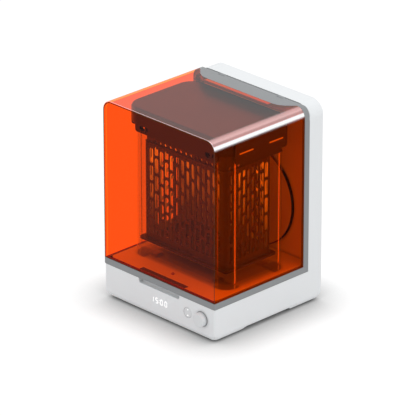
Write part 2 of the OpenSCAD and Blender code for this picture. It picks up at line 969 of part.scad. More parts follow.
// Six-cornered light bar from a to b
module bar(a, b) {
    h = bar_w / 2;
    d = (b - a) / norm(b - a);
    n = [-d[1], d[0]];
    polygon([
        a, a + (d + n) * h, b - (d - n) * h,
        b, b - (d + n) * h, a + (d - n) * h
    ]);
}

// The seven bars in order: top, upper right, lower right, bottom, lower left, upper left, middle
module digit(lit) {
    w = digit_w / 2 - bar_w / 2;
    h = digit_h / 2 - bar_w / 2;
    ends = [
        [[-w, h], [w, h]], [[w, h], [w, 0]], [[w, 0], [w, -h]],
        [[-w, -h], [w, -h]], [[-w, 0], [-w, -h]], [[-w, h], [-w, 0]],
        [[-w, 0], [w, 0]]
    ];
    for (i = lit) {
        a = ends[i][0];
        b = ends[i][1];
        d = (b - a) / norm(b - a);
        bar(a + d * bar_gap, b - d * bar_gap);
    }
}

// Fifteen minutes, zero seconds
module digits_outline() {
    places = [-1.5, -0.5, 0.5, 1.5];
    shown = [[1, 2], [0, 2, 3, 5, 6], [0, 1, 2, 3, 4, 5], [0, 1, 2, 3, 4, 5]];
    for (i = [0:3])
        translate([places[i] * digit_pitch + sign(places[i]) * colon_gap / 2, 0])
            digit(shown[i]);
    for (s = [-1, 1])
        translate([0, s * digit_h * 0.2]) circle(d = bar_w, $fn = 16);
}

module display_window() {
    color(white) unit() difference() {
        window_place(0, control_wall) rounded_rect(display_w, display_h, 2);
        window_place(-cut, digit_depth) digits_outline();
    }
}

module display_digits() {
    color("white") unit()
        window_place(0, digit_depth) digits_outline();
}

module display_module() {
    color(black) unit()
        translate([display_x - 2 * digit_pitch, control_wall, display_z - digit_h / 2 - 1.8])
            cube([4 * digit_pitch, board_front - control_wall, digit_h + 3.6]);
}

module control_board() {
    color(green) unit() {
        translate([pcb_x[0], board_front, pcb_z[0]])
            cube([pcb_x[1] - pcb_x[0], pcb_t, pcb_z[1] - pcb_z[0]]);
        for (x = [-8, 22, 40])
            translate([x, board_front + pcb_t, pcb_z[0] + 6])
                cube([10, 2.5, 10]);
    }
}

// Slides in the front wall; a rim behind the wall keeps it in
module start_button() {
    color(white) unit() difference() {
        union() {
            along_y(button_set, button_back + cut)
                translate([button_x, control_z]) circle(d = button_d);
            along_y(button_back, button_back + button_rim_t)
                translate([button_x, control_z]) circle(d = button_d + 2 * button_rim);
        }
        for (s = [-1, 1])
            along_y(-cut, button_set + light_t)
                translate([button_x, control_z + s * light_dz]) circle(d = light_d, $fn = 24);
    }
}

module button_lights() {
    color("white") unit()
        for (s = [-1, 1])
            along_y(button_set, button_set + light_t)
                translate([button_x, control_z + s * light_dz]) circle(d = light_d, $fn = 24);
}

module button_switch() {
    front = button_back + button_rim_t + button_travel + 0.3;
    color(black) unit() {
        translate([button_x - 6, front + 3, control_z - 6])
            cube([12, board_front - front - 3, 12]);
        along_y(front, front + 3)
            translate([button_x, control_z]) circle(d = 6);
    }
}

module time_knob() {
    color(white) unit() {
        along_y(-knob_out + knob_edge, knob_seat - 0.3)
            translate([knob_x, control_z]) circle(d = knob_d);
        translate([knob_x, -knob_out, control_z])
            rotate([-90, 0, 0])
                cylinder(d1 = knob_d - 2 * knob_edge, d2 = knob_d, h = knob_edge);
        along_y(0, encoder_y + encoder_bore)
            translate([knob_x, control_z]) circle(d = shaft_d, $fn = 32);
    }
}

module knob_encoder() {
    color(steel) unit() difference() {
        along_y(encoder_y, board_front)
            translate([knob_x, control_z]) rounded_rect(encoder_w, encoder_w, 1);
        along_y(encoder_y - cut, encoder_y + encoder_bore + 0.2)
            translate([knob_x, control_z]) circle(d = shaft_d + 2 * shaft_play, $fn = 32);
    }
}

// Power

module power_board() {
    top = supply_post + pcb_t;
    color(green) unit() translate([supply_x, supply_y, plate_z + plate_t]) {
        translate([0, 0, supply_post]) cube([supply_w, supply_d, pcb_t]);
        translate([supply_edge * 1.5, supply_edge * 2, top]) cube([coil_w, supply_d / 2, coil_h]);
        for (y = [supply_d / 4, supply_d * 0.65])
            translate([supply_w - can_d, y, top]) cylinder(d = can_d, h = can_h, $fn = 48);
        for (x = [supply_edge, supply_w - supply_edge], y = [supply_edge, supply_d - supply_edge])
            translate([x, y, 0]) cylinder(d = spacer_d, h = supply_post + cut, $fn = 24);
    }
}

module power_jack() {
    color(black) unit()
        along_y(body_d - shell_t - 8, body_d)
            translate([jack_x, rear_z])
                difference() {
                    circle(d = jack_d);
                    circle(d = 6.4);
                }
    color(steel) unit()
        along_y(body_d - shell_t - 10, body_d - 3)
            translate([jack_x, rear_z]) circle(d = 2, $fn = 24);
    color(black) unit()
        along_y(body_d - shell_t - 10, body_d - shell_t - 8)
            translate([jack_x, rear_z]) circle(d = jack_d);
}

module switch_frame() {
    color(black) unit() difference() {
        along_y(body_d - 12, body_d)
            translate([rocker_x, rear_z]) square([switch_w, switch_h], center = true);
        along_y(body_d - 10, body_d + cut)
            translate([rocker_x, rear_z]) square([rocker_w, switch_h - 3], center = true);
        along_x(rocker_x - rocker_w / 2 - 1.5, rocker_x + rocker_w / 2 + 1.5)
            translate([rocker_axis_y, rear_z]) circle(d = 2 + 2 * spin_play, $fn = 24);
    }
}

// Seen from the side the rocker is a shallow V, tipped about its own pins
module power_rocker() {
    h = switch_h / 2 - 2;
    w = rocker_w / 2 - 0.4;
    pins = w + 1.7;
    color(black) unit()
        translate([rocker_x, rocker_axis_y, rear_z])
            rotate([rocker_turn, 0, 0]) {
                along_x(-w, w)
                    polygon([[2.6, 0], [3.1, h], [-1.5, h * 0.8], [-1.5, -h * 0.8], [3.1, -h]]);
                along_x(-pins, pins) circle(d = 2, $fn = 24);
            }
}

// Drive under the deck

module motor_bracket() {
    color(steel) unit() difference() {
        translate([0, tank_y, motor_z + motor_h])
            linear_extrude(height = bracket_t)
                difference() {
                    rounded_rect(2 * post_x + bracket_edge, 2 * post_x + bracket_edge, bracket_r);
                    circle(d = bracket_bore);
                    for (sx = [-1, 1], sy = [-1, 1])
                        translate([sx, sy] * post_x) circle(d = screw_d + 0.3, $fn = 24);
                }
    }
    color(steel) unit()
        for (sx = [-1, 1], sy = [-1, 1])
            translate([sx * post_x, tank_y + sy * post_x, motor_z + motor_h + bracket_t])
                difference() {
                    cylinder(d = post_d, h = base_h - motor_z - motor_h - bracket_t);
                    translate([0, 0, -cut]) cylinder(d = screw_d + 0.3, h = base_h, $fn = 24);
                }
}

module bracket_screws() {
    color(steel) unit()
        for (sx = [-1, 1], sy = [-1, 1])
            translate([sx * post_x, tank_y + sy * post_x, motor_z + motor_h - screw_head_t])
                screw(screw_head_d, screw_head_t, screw_d - 0.5, base_h + 4 - motor_z - motor_h);
}

module drive_motor() {
    color(steel) unit()
        translate([0, tank_y, motor_z])
            difference() {
                cylinder(d = motor_d, h = motor_h);
                translate([0, 0, 4])
                    cylinder(d = drive_shaft_d + 2 * spin_play, h = motor_h, $fn = 32);
            }
}

module drive_disc() {
    color(steel) unit()
        translate([0, tank_y, 0]) {
            translate([0, 0, motor_z + 5])
                cylinder(d = drive_shaft_d, h = disc_z - motor_z - 5 + 0.1, $fn = 32);
            translate([0, 0, disc_z])
                difference() {
                    cylinder(d = disc_d, h = disc_t);
                    for (a = [0:90:270])
                        rotate([0, 0, a])
                            translate([magnet_r, 0, disc_t - 1]) cylinder(d = 8, h = 2, $fn = 32);
                }
        }
}

module stirrer() {
    color("white") unit()
        translate([0, tank_y, floor_top + 0.5])
            difference() {
                union() {
                    cylinder(d = 16, h = stirrer_h);
                    cylinder(d = stirrer_d - 8, h = 2);
                    for (i = [0:stirrer_blades - 1])
                        rotate([0, 0, i * 360 / stirrer_blades])
                            translate([0, -1, 0]) cube([stirrer_d / 2, 2, stirrer_h - 1]);
                }
                translate([0, 0, -cut])
                    cylinder(d = stirrer_pin_d + 2 * spin_play, h = stirrer_h + 2 * cut, $fn = 32);
            }
}

// Tank

module tank() {
    color(clear) unit() translate([0, tank_y, 0]) {
        difference() {
            union() {
                translate([0, 0, floor_z])
                    linear_extrude(height = tank_top - floor_z)
                        rounded_rect(tank_w, tank_d, tank_r);
                translate([0, 0, tank_top - rim_low])
                    linear_extrude(height = rim_low - rim_high)
                        rounded_rect(tank_w + 2 * rim_t, tank_d + 2 * rim_t, tank_r + rim_t);
            }
            translate([0, 0, floor_top])
                linear_extrude(height = tank_top - floor_top + cut)
                    rounded_rect(tank_w - 2 * tank_t, tank_d - 2 * tank_t, tank_r - tank_t);
        }
        translate([0, 0, floor_top - 0.1])
            cylinder(d = stirrer_pin_d, h = stirrer_h + 0.4, $fn = 32);
        translate([0, 0, deck_z])
            linear_extrude(height = tank_foot_h + 0.1)
                intersection() {
                    rounded_rect(tank_w, tank_d, tank_r);
                    for (sx = [-1, 1], sy = [-1, 1])
                        translate([sx * (tank_w - foot_w) / 2, sy * (tank_d - foot_w) / 2])
                            square(foot_w, center = true);
                }
        for (sx = [-1, 1], sy = [-1, 1])
            translate([sx * (tank_w + rib_reach) / 2, sy * latch_slot_dx / 2, rib_z])
                cube([rib_reach + 0.2, latch_slot - 2, rib_t], center = true);
    }
}

// Round-cornered block with a rolled top edge
module rolled_block(w, d, r, h, e) {
    hull()
        for (sx = [-1, 1], sy = [-1, 1])
            translate([sx * (w / 2 - r), sy * (d / 2 - r), 0]) {
                cylinder(r = r, h = h - e, $fn = 64);
                translate([0, 0, h - e])
                    rotate_extrude($fn = 64) translate([r - e, 0]) circle(r = e, $fn = 16);
            }
}

module tank_lid() {
    w = tank_w + 2 * lid_over;
    d = tank_d + 2 * lid_over;
    r = tank_r + lid_over;
    color(dark) unit() translate([0, tank_y, 0]) {
        difference() {
            translate([0, 0, lid_low]) rolled_block(w, d, r, lid_h, lid_edge_r);
            translate([0, 0, lid_low - cut])
                linear_extrude(height = lid_h - lid_t + cut)
                    rounded_rect(w - 2 * lid_wall, d - 2 * lid_wall, r - lid_wall);
            for (sx = [-1, 1])
                translate([sx * lid_half, 0, lid_low])
                    cube([2 * lid_wall + 1, latch_w - 10, 12], center = true);
        }
        for (sy = [-1, 1])
            along_y(sy * skirt_y - skirt_t / 2, sy * skirt_y + skirt_t / 2)
                translate([0, lid_low - skirt_h])
                    difference() {
                        mirror([0, 1]) translate([0, -skirt_h - 0.1])
                            arch_outline(skirt_w, skirt_h + 0.1, 4);
                        for (sx = [-1, 1])
                            translate([sx * boss_dx, skirt_h - eye_drop]) circle(d = 6, $fn = 32);
                    }
    }
}

// Round eyes at the ends of the skirts
module lid_bosses() {
    color(dark) unit() translate([0, tank_y, 0])
        for (sx = [-1, 1], sy = [-1, 1])
            along_y(sy * eye_y - eye_t / 2, sy * eye_y + eye_t / 2)
                translate([sx * boss_dx, lid_low - eye_drop])
                    intersection() {
                        difference() {
                            circle(d = eye_d);
                            circle(d = eye_d - 2 * eye_wall);
                        }
                        translate([-eye_d, -eye_d]) square([2 * eye_d, eye_d + eye_drop]);
                    }
}

module lid_seal() {
    color(black) unit()
        translate([0, tank_y, tank_top])
            linear_extrude(height = seal_t)
                rounded_ring(tank_w + 1, tank_d + 1, tank_r + 0.5, 4);
}

// Side latch that hangs over the tank's ribs; side is -1 or 1
module latch(side) {
    low = latch_top - latch_h;
    color(dark) unit() translate([0, tank_y, 0]) {
        difference() {
            translate([side * (lid_half + latch_t / 2), 0, low + lip_h + (latch_h - lip_h) / 2])
                rotate([0, 90, 0])
                    linear_extrude(height = latch_t, center = true)
                        rounded_rect(latch_h - lip_h, latch_w, latch_r);
            for (sy = [-1, 1])
                translate([side * lid_half, sy * latch_slot_dx / 2, rib_z])
                    cube([4 * latch_t, latch_slot, rib_t + 1], center = true);
        }
        rotate([90, 0, 0])
            linear_extrude(height = latch_w - 2 * lip_in, center = true)
                polygon([
                    [side * lid_half, low + lip_h],
                    [side * lid_half, low + lip_h + cut],
                    [side * (lid_half + latch_t), low + lip_h + cut],
                    [side * (lid_half + latch_t), low + lip_h],
                    [side * (lid_half + latch_t + lip_out), low],
                    [side * (lid_half + lip_out), low]
                ]);
    }
}

module latch_left() {
    latch(-1);
}

module latch_right() {
    latch(1);
}

// Basket

module basket_collar() {
    z0 = basket_top - collar_overlap;
    n = floor((collar_w / 2 - corner_w) / slot_dx);
    m = floor((collar_d / 2 - basket_r) / slot_dy);
    hole_z = basket_top + 3;
    color(dark) unit() translate([0, basket_y, 0])
        difference() {
            translate([0, 0, z0])
                linear_extrude(height = lid_top - lid_t - z0)
                    rounded_ring(collar_w, collar_d, basket_r - sheet_t, sheet_t);
            for (i = [-n:n])
                along_y(-basket_d, basket_d)
                    translate([i * slot_dx, hole_z]) circle(d = hole_d, $fn = 24);
            for (i = [-m:m])
                along_x(-basket_w, basket_w)
                    translate([i * slot_dy, hole_z]) circle(d = hole_d, $fn = 24);
        }
}

// Flat sheet with staggered columns of slots, drawn about the middle of its width
module slotted_sheet(w, pitch_x, slot) {
    n = floor((w - slot - 2) / pitch_x) + 1;
    rows = ceil((slots_high - slots_low) / pitch_z);
    difference() {
        translate([-w / 2, basket_low]) square([w, basket_h]);
        for (i = [0:n - 1]) {
            start = slots_low - (i % 2) * pitch_z / 2;
            for (k = [0:rows]) {
                lo = max(slots_low, start + k * pitch_z);
                hi = min(slots_high, start + k * pitch_z + slot_l);
                if (hi - lo > slot)
                    translate([(i - (n - 1) / 2) * pitch_x, (lo + hi) / 2])
                        slot_outline(slot, hi - lo);
            }
        }
    }
}

module basket_long_side(side) {
    y = basket_y + side * (basket_d / 2 - sheet_t / 2);
    color(dark) unit()
        along_y(y - sheet_t / 2, y + sheet_t / 2)
            slotted_sheet(basket_w - 2 * corner_w, slot_dx, slot_w);
}

module basket_short_side(side) {
    x = side * (basket_w / 2 - sheet_t / 2);
    color(dark) unit()
        translate([0, basket_y, 0])
            along_x(x - sheet_t / 2, x + sheet_t / 2)
                slotted_sheet(basket_d - 2 * basket_r, slot_dy, side_slot_w);
}

module basket_front() {
    basket_long_side(-1);
}

module basket_rear() {
    basket_long_side(1);
}

module basket_left() {
    basket_short_side(-1);
}

module basket_right() {
    basket_short_side(1);
}

module basket_corners() {
    color(dark) unit() translate([0, basket_y, basket_low])
        linear_extrude(height = basket_h)
            intersection() {
                rounded_ring(basket_w, basket_d, basket_r, sheet_t);
                for (sx = [-1, 1], sy = [-1, 1])
                    translate([sx * (basket_w - corner_w) / 2, sy * (basket_d - basket_r) / 2])
                        square([corner_w, basket_r], center = true);
            }
}

module basket_plate() {
    color(dark) unit() translate([0, basket_y, plate_low])
        linear_extrude(height = basket_plate_t)
            difference() {
                rounded_rect(basket_w + 2 * plate_over, basket_d + 2 * plate_over, 4);
                for (i = [-3:3], k = [-1:1])
                    translate([i * 20, k * 24]) circle(d = 8, $fn = 24);
            }
}

base_shell();
bottom_plate();
rubber_feet();
plate_screws();
deck_plate();
tank_pads();
hood_sensor();
base_magnets();
rear_housing();
chamber_wall();
rear_cover();
cover_screws();
lamp_ring();
lamp_window();
led_board();
uv_leds();
heat_sink();
fan_frame();
fan_rotor();
hood_shell();
hood_frame();
hood_magnets();
hinge_barrels();
hinge_pins();
display_window();
display_digits();
display_module();
control_board();
start_button();
button_lights();
button_switch();
time_knob();
knob_encoder();
power_board();
power_jack();
switch_frame();
power_rocker();
drive_motor();
motor_bracket();
bracket_screws();
drive_disc();
stirrer();
tank();
tank_lid();
lid_seal();
lid_bosses();
latch_left();
latch_right();
basket_collar();
basket_front();
basket_rear();
basket_left();
basket_right();
basket_corners();
basket_plate();
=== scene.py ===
# %% [markdown]
# # A light curing unit, from imported solids to a finished picture
# The unit is a bench-top box for a dental lab: a white base and rear housing, a clear orange hood in a grey frame,
# and under the hood a clear tank with a dark lid and a slotted basket. The solids come from a CAD model that is
# already packed, so this lesson doesn't model the machine again. It gives the main solids soft moulded edges, every
# solid a finish, some of them with painted light and shade, and the light of a product photograph.

import json
import math

import bmesh
import bpy
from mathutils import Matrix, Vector

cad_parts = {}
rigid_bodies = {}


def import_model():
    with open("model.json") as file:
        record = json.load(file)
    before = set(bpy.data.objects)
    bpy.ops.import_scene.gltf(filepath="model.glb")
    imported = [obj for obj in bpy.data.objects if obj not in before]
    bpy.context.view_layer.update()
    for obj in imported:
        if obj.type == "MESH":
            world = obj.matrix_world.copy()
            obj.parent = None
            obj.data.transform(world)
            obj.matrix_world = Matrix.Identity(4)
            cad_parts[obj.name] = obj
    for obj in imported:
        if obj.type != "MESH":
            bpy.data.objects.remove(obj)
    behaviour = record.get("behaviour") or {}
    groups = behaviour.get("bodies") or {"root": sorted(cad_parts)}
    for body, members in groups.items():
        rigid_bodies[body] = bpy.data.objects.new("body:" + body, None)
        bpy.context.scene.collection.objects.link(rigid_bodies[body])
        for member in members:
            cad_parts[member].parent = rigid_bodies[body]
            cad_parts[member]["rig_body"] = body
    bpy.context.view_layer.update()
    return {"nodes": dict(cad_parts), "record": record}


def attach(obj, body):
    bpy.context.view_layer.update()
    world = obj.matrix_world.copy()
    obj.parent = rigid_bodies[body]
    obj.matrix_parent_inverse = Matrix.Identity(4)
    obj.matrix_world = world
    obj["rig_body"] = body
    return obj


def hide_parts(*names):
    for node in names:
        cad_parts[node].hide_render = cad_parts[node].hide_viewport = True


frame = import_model()
nodes = frame["nodes"]

# %% [markdown]
# ## The camera
# The photograph looks at the unit's front right corner from above, through a long lens, so upright edges stay nearly
# parallel. A camera can be aimed by hand, but it's quicker to compute it from an angle to the side, an angle of
# height, a distance and the point it looks at.

# %% Aim the camera
LOOK_AT = Vector((0.09448, -0.09925, 0.20678))
SIDE_ANGLE = math.radians(45.5966)
HEIGHT_ANGLE = math.radians(24.0019)
DISTANCE = 5.63685

back = Vector((
    math.sin(SIDE_ANGLE) * math.cos(HEIGHT_ANGLE),
    -math.cos(SIDE_ANGLE) * math.cos(HEIGHT_ANGLE),
    math.sin(HEIGHT_ANGLE),
))
camera_data = bpy.data.cameras.new("camera")
camera_data.lens = 343.214
camera_data.sensor_width = 36
camera_data.clip_end = 50
camera = bpy.data.objects.new("camera", camera_data)
camera.location = LOOK_AT + back * DISTANCE
camera.rotation_euler = back.to_track_quat("Z", "Y").to_euler()
bpy.context.scene.collection.objects.link(camera)
bpy.context.scene.camera = camera
print("camera at", [round(c, 3) for c in camera.location])

# %% [markdown]
# ## Building materials from nodes
# A material is a small graph: patterns feed the shader's sockets. A helper that adds a node, sets its sockets by name
# and returns it keeps each recipe short enough to read. The noise patterns use Object coordinates, so they stay put
# on the piece when the hood is opened; the curves over which way a surface faces read its normal in the world.

# %% Node helpers
def new_material(name):
    """A material with an empty graph and its output."""
    material = bpy.data.materials.new(name)
    material.use_nodes = True
    material.node_tree.nodes.clear()
    out = material.node_tree.nodes.new("ShaderNodeOutputMaterial")
    return material, material.node_tree, out


def add(tree, kind, inputs=None, **settings):
    """Adds a node; inputs holds values or (node, socket) pairs to link."""
    node = tree.nodes.new(kind)
    for key, value in settings.items():
        setattr(node, key, value)
    for key, value in (inputs or {}).items():
        if isinstance(value, tuple) and len(value) == 2 and isinstance(value[0], bpy.types.Node):
            tree.links.new(value[0].outputs[value[1]], node.inputs[key])
        else:
            node.inputs[key].default_value = value
    return node


def linear(r, g, b):
    """A colour picked from a screen, 0 to 255, as the linear values that shaders use."""
    def one(c):
        c /= 255
        return c / 12.92 if c <= 0.04045 else ((c + 0.055) / 1.055) ** 2.4
    return (one(r), one(g), one(b), 1.0)


print("a screen grey of 128 is", round(linear(128, 128, 128)[0], 3), "in linear light")

# %% [markdown]
# ## Moulded plastic
# The casing is injection moulded. Its skin has a very fine spark texture and tiny differences in gloss where the
# mould is polished unevenly. One recipe with a colour, a gloss and a grain size serves all moulded parts: noise moves
# the roughness a little, and a finer noise gives the bump. Gaps and corners get painted shade on top of what the
# light alone does: ambient occlusion darkens the colour there, so that a button stands out from its hole.

# %% Moulded plastic recipe
def moulded(name, colour, rough=0.42, grain=0.00006, spread=0.08, grain_size=1800.0, tone=0.03, crevice_shade=0.0):
    material, tree, out = new_material(name)
    place = add(tree, "ShaderNodeTexCoord")
    cloudy = add(tree, "ShaderNodeTexNoise", {"Vector": (place, "Object"), "Scale": 14.0, "Detail": 3.0})
    gloss = add(tree, "ShaderNodeMapRange", {
        "Value": (cloudy, "Fac"), "From Min": 0.3, "From Max": 0.7,
        "To Min": rough - spread / 2, "To Max": rough + spread / 2,
    })
    darker = tuple(c * (1 - tone) for c in colour[:3]) + (1.0,)
    tint = add(tree, "ShaderNodeMix", {"Factor": (cloudy, "Fac")}, data_type="RGBA")
    tint.inputs[6].default_value = darker
    tint.inputs[7].default_value = colour
    fine = add(tree, "ShaderNodeTexNoise", {"Vector": (place, "Object"), "Scale": grain_size, "Detail": 2.0})
    bump = add(tree, "ShaderNodeBump", {"Height": (fine, "Fac"), "Distance": grain, "Strength": 0.5})
    skin = (tint, 2)
    if crevice_shade:
        # Painted shade: ambient occlusion darkens the colour in gaps and corners.
        open_air = add(tree, "ShaderNodeAmbientOcclusion", {"Distance": 0.005}, samples=8)
        painted_gap_shade = add(tree, "ShaderNodeMapRange", {"Value": (open_air, "AO"), "To Min": 1.0 - crevice_shade, "To Max": 1.0})
        gap_shaded_colour = add(tree, "ShaderNodeVectorMath", {0: (tint, 2), "Scale": (painted_gap_shade, "Result")}, operation="SCALE")
        skin = (gap_shaded_colour, 0)
    shader = add(tree, "ShaderNodeBsdfPrincipled", {
        "Base Color": skin, "Roughness": (gloss, "Result"), "Normal": (bump, "Normal"),
    })
    tree.links.new(shader.outputs[0], out.inputs[0])
    return material


white_plastic = moulded("white_moulding", linear(234, 237, 239), rough=0.45, crevice_shade=0.6)
knob_plastic = moulded("white_control", linear(224, 227, 229), rough=0.4, crevice_shade=0.85)
grey_plastic = moulded("grey_moulding", linear(138, 141, 143), rough=0.4, crevice_shade=0.3)
dark_plastic = moulded("dark_moulding", linear(38, 34, 35), rough=0.32, tone=0.12)
black_plastic = moulded("black_moulding", linear(22, 22, 23), rough=0.5)
plastics = (white_plastic, knob_plastic, grey_plastic, dark_plastic, black_plastic)
print("moulded plastics:", [m.name for m in plastics])

# %% [markdown]
# ## Clear plastic
# Real acrylic bends light, but through two thin parallel walls the view hardly shifts. A surface that lets light
# straight through, tinted, with a reflection on top, gives the same look, throws a coloured shadow and stays free
# of noise. The light that leaves a wall on its far side must not be mirrored again, so the reflection is kept to
# the faces that are met from outside.

# %% Clear plastic recipe
def ramp(tree, source, stops):
    """A smooth curve through (place, value) stops, read from another node's output."""
    node = add(tree, "ShaderNodeValToRGB", {"Fac": source})
    bar = node.color_ramp
    while len(bar.elements) < len(stops):
        bar.elements.new(0.5)
    for element, (place, value) in zip(bar.elements, stops):
        element.position = place
        element.color = (value, value, value, 1.0)
    return node


ACRYLIC_IOR = 1.49
WHITE_SHINE = (1.0, 1.0, 1.0, 1.0)


def clear_wall(name, recipe, rough=0.02):
    """recipe(tree, facing) gives the tint, the mirror colour, the part of Fresnel's share and an extra share that are
    mirrored; the extra share is painted reflection.
    """
    material, tree, out = new_material(name)
    place = add(tree, "ShaderNodeTexCoord")
    cloudy = add(tree, "ShaderNodeTexNoise", {"Vector": (place, "Object"), "Scale": 9.0, "Detail": 2.0})
    gloss = add(tree, "ShaderNodeMapRange", {
        "Value": (cloudy, "Fac"), "From Min": 0.3, "From Max": 0.7, "To Min": rough * 0.7, "To Max": rough * 1.5,
    })
    facing = add(tree, "ShaderNodeNewGeometry")
    tint, shine, scale, extra = recipe(tree, facing)
    straight = add(tree, "ShaderNodeBsdfTransparent", {"Color": tint})
    mirror = add(tree, "ShaderNodeBsdfGlossy", {"Color": shine, "Roughness": (gloss, "Result")})
    edge = add(tree, "ShaderNodeFresnel", {"IOR": ACRYLIC_IOR})
    outside = add(tree, "ShaderNodeMath", {0: 1.0, 1: (facing, "Backfacing")}, operation="SUBTRACT")
    thin = add(tree, "ShaderNodeMath", {0: (edge, "Fac"), 1: scale}, operation="MULTIPLY")
    # The extra share is painted reflection, added on top of Fresnel's.
    total = add(tree, "ShaderNodeMath", {0: (thin, 0), 1: extra}, operation="ADD", use_clamp=True)
    share = add(tree, "ShaderNodeMath", {0: (total, 0), 1: (outside, 0)}, operation="MULTIPLY")
    both = add(tree, "ShaderNodeMixShader", {"Fac": (share, 0)})
    tree.links.new(straight.outputs[0], both.inputs[1])
    tree.links.new(mirror.outputs[0], both.inputs[2])
    tree.links.new(both.outputs[0], out.inputs[0])
    return material


def blend_colours(tree, factor, first, second):
    node = add(tree, "ShaderNodeMix", {"Factor": factor}, data_type="RGBA")
    node.inputs[6].default_value = first
    node.inputs[7].default_value = second
    return (node, 2)


# %% [markdown]
# The hood is bent from one sheet. Its long bends along the top are where the acrylic was heated and stretched. Faces
# that do not turn to the left get bands of painted reflection in place of the studio's lamps: a broad pink one and a
# narrow white one. Curves over how far the surface faces up set these bands, and the rolled edge along the front's
# top gets a full painted reflection, a thin highlight line. Fresnel's own share is also scaled by where a face
# points, which paints the reflection stronger on top than on the front and sides. Seen along the bend the acrylic is
# thick, so its colour is deeper there.

# %% Finish of the hood
def hood_finish(tree, facing):
    parts = add(tree, "ShaderNodeSeparateXYZ", {"Vector": (facing, "Normal")})
    bend = ramp(tree, (parts, "Z"), [
        (0.0, 0.0), (0.03, 0.0), (0.08, 1.0), (0.96, 1.0), (0.995, 0.0), (1.0, 0.0),
    ])
    tint = blend_colours(tree, (bend, "Color"), (0.998, 0.525, 0.05, 1.0), (0.99, 0.26, 0.02, 1.0))
    # Painted reflection strength: Fresnel's share is scaled by where a face points, most on top, less on the front,
    # least on the sides.
    side = add(tree, "ShaderNodeMapRange", {
        "Value": (parts, "Y"), "From Min": -1.0, "From Max": 0.0, "To Min": 0.15, "To Max": 0.05,
    })
    scale = add(tree, "ShaderNodeMapRange", {
        "Value": (parts, "Z"), "To Min": (side, "Result"), "To Max": 0.82,
    })
    # Painted reflection bands over how far the surface faces up.
    bands = ramp(tree, (parts, "Z"), [
        (0.0, 0.0), (0.1, 0.05), (0.16, 0.16), (0.24, 0.6), (0.3, 1.0), (0.5, 1.0), (0.56, 0.62), (0.61, 0.38),
        (0.68, 0.44), (0.74, 0.53), (0.78, 0.72), (0.85, 0.68), (0.93, 0.55), (0.965, 0.4),
        (0.99, 0.12), (0.999, 0.0),
    ])
    # Faces turned to the left get no painted bands.
    lit_side = add(tree, "ShaderNodeMath", {0: (parts, "X"), 1: -0.02}, operation="GREATER_THAN")
    bend_painted_reflection = add(tree, "ShaderNodeMath", {0: (bands, "Color"), 1: (lit_side, 0)}, operation="MULTIPLY")
    # Painted highlight along the rolled edge at the front's top.
    forward = add(tree, "ShaderNodeMath", {0: (parts, "Y"), 1: -0.3}, operation="LESS_THAN")
    upward = add(tree, "ShaderNodeMath", {0: (parts, "Z"), 1: 0.3}, operation="GREATER_THAN")
    front_edge_painted_highlight = add(tree, "ShaderNodeMath", {0: (forward, 0), 1: (upward, 0)}, operation="MULTIPLY")
    extra = add(tree, "ShaderNodeMath", {0: (bend_painted_reflection, 0), 1: (front_edge_painted_highlight, 0)}, operation="MAXIMUM")
    # Painted pink tint for the broad reflection band.
    pink = ramp(tree, (parts, "Z"), [(0.5, 0.0), (0.57, 1.0), (0.97, 1.0), (0.998, 0.0)])
    shine = blend_colours(tree, (pink, "Color"), WHITE_SHINE, (1.0, 0.64, 0.62, 1.0))
    return tint, shine, (scale, "Result"), (extra, 0)


# %% [markdown]
# The tank is moulded from clear plastic with round corners. Where a flat wall turns into a corner a thin upright line
# of painted highlight is drawn, and a wall seen along its face gets a painted reflection of what is beside it. Curves
# over how far the surface faces sideways draw these lines. The tank's feet are clear silicone with small painted
# glints.

# %% Finish of the tank and its feet
def tank_finish(tree, facing):
    size = add(tree, "ShaderNodeVectorMath", {0: (facing, "Normal")}, operation="ABSOLUTE")
    parts = add(tree, "ShaderNodeSeparateXYZ", {"Vector": (size, 0)})
    # Painted highlight lines where a wall turns into a round corner, weaker on the front and back walls.
    line = [(0.982, 0.0), (0.992, 0.75), (0.9985, 0.85), (1.0, 0.0)]
    side = ramp(tree, (parts, "X"), line)
    front = ramp(tree, (parts, "Y"), [(place, value * 0.3) for place, value in line])
    # Painted reflection on a wall seen edge-on.
    glance = add(tree, "ShaderNodeLayerWeight", {"Blend": 0.5})
    along = ramp(tree, (glance, "Facing"), [(0.0, 0.0), (0.72, 0.0), (0.86, 0.4), (1.0, 0.8)])
    first = add(tree, "ShaderNodeMath", {0: (side, "Color"), 1: (front, "Color")}, operation="MAXIMUM")
    extra = add(tree, "ShaderNodeMath", {0: (first, 0), 1: (along, "Color")}, operation="MAXIMUM")
    return (0.94, 0.94, 0.94, 1.0), WHITE_SHINE, 0.7, (extra, 0)


def foot_finish(tree, facing):
    """Clear lumps: painted glints follow a fine noise."""
    place = add(tree, "ShaderNodeTexCoord")
    lumps = add(tree, "ShaderNodeTexNoise", {"Vector": (place, "Object"), "Scale": 260.0, "Detail": 2.0})
    glints = ramp(tree, (lumps, "Fac"), [(0.0, 0.0), (0.5, 0.02), (0.6, 0.4), (1.0, 0.6)])
    return (0.94, 0.9, 0.88, 1.0), WHITE_SHINE, 0.9, (glints, "Color")


# %% The three clear plastics
orange_clear = clear_wall("orange_acrylic", hood_finish)
foot_clear = clear_wall("clear_silicone", foot_finish)
tank_clear = clear_wall("clear_tank_plastic", tank_finish)
print("clear plastics:", [m.name for m in (orange_clear, foot_clear, tank_clear)])

# %% [markdown]
# ## Metal, rubber, boards and light
# Screws and shafts are plated steel with a fine brushed grain. Feet and seals are matte rubber. The digits and the
# small lights of the start button are light guides that glow. The lamp's window is opal, which spreads its light.

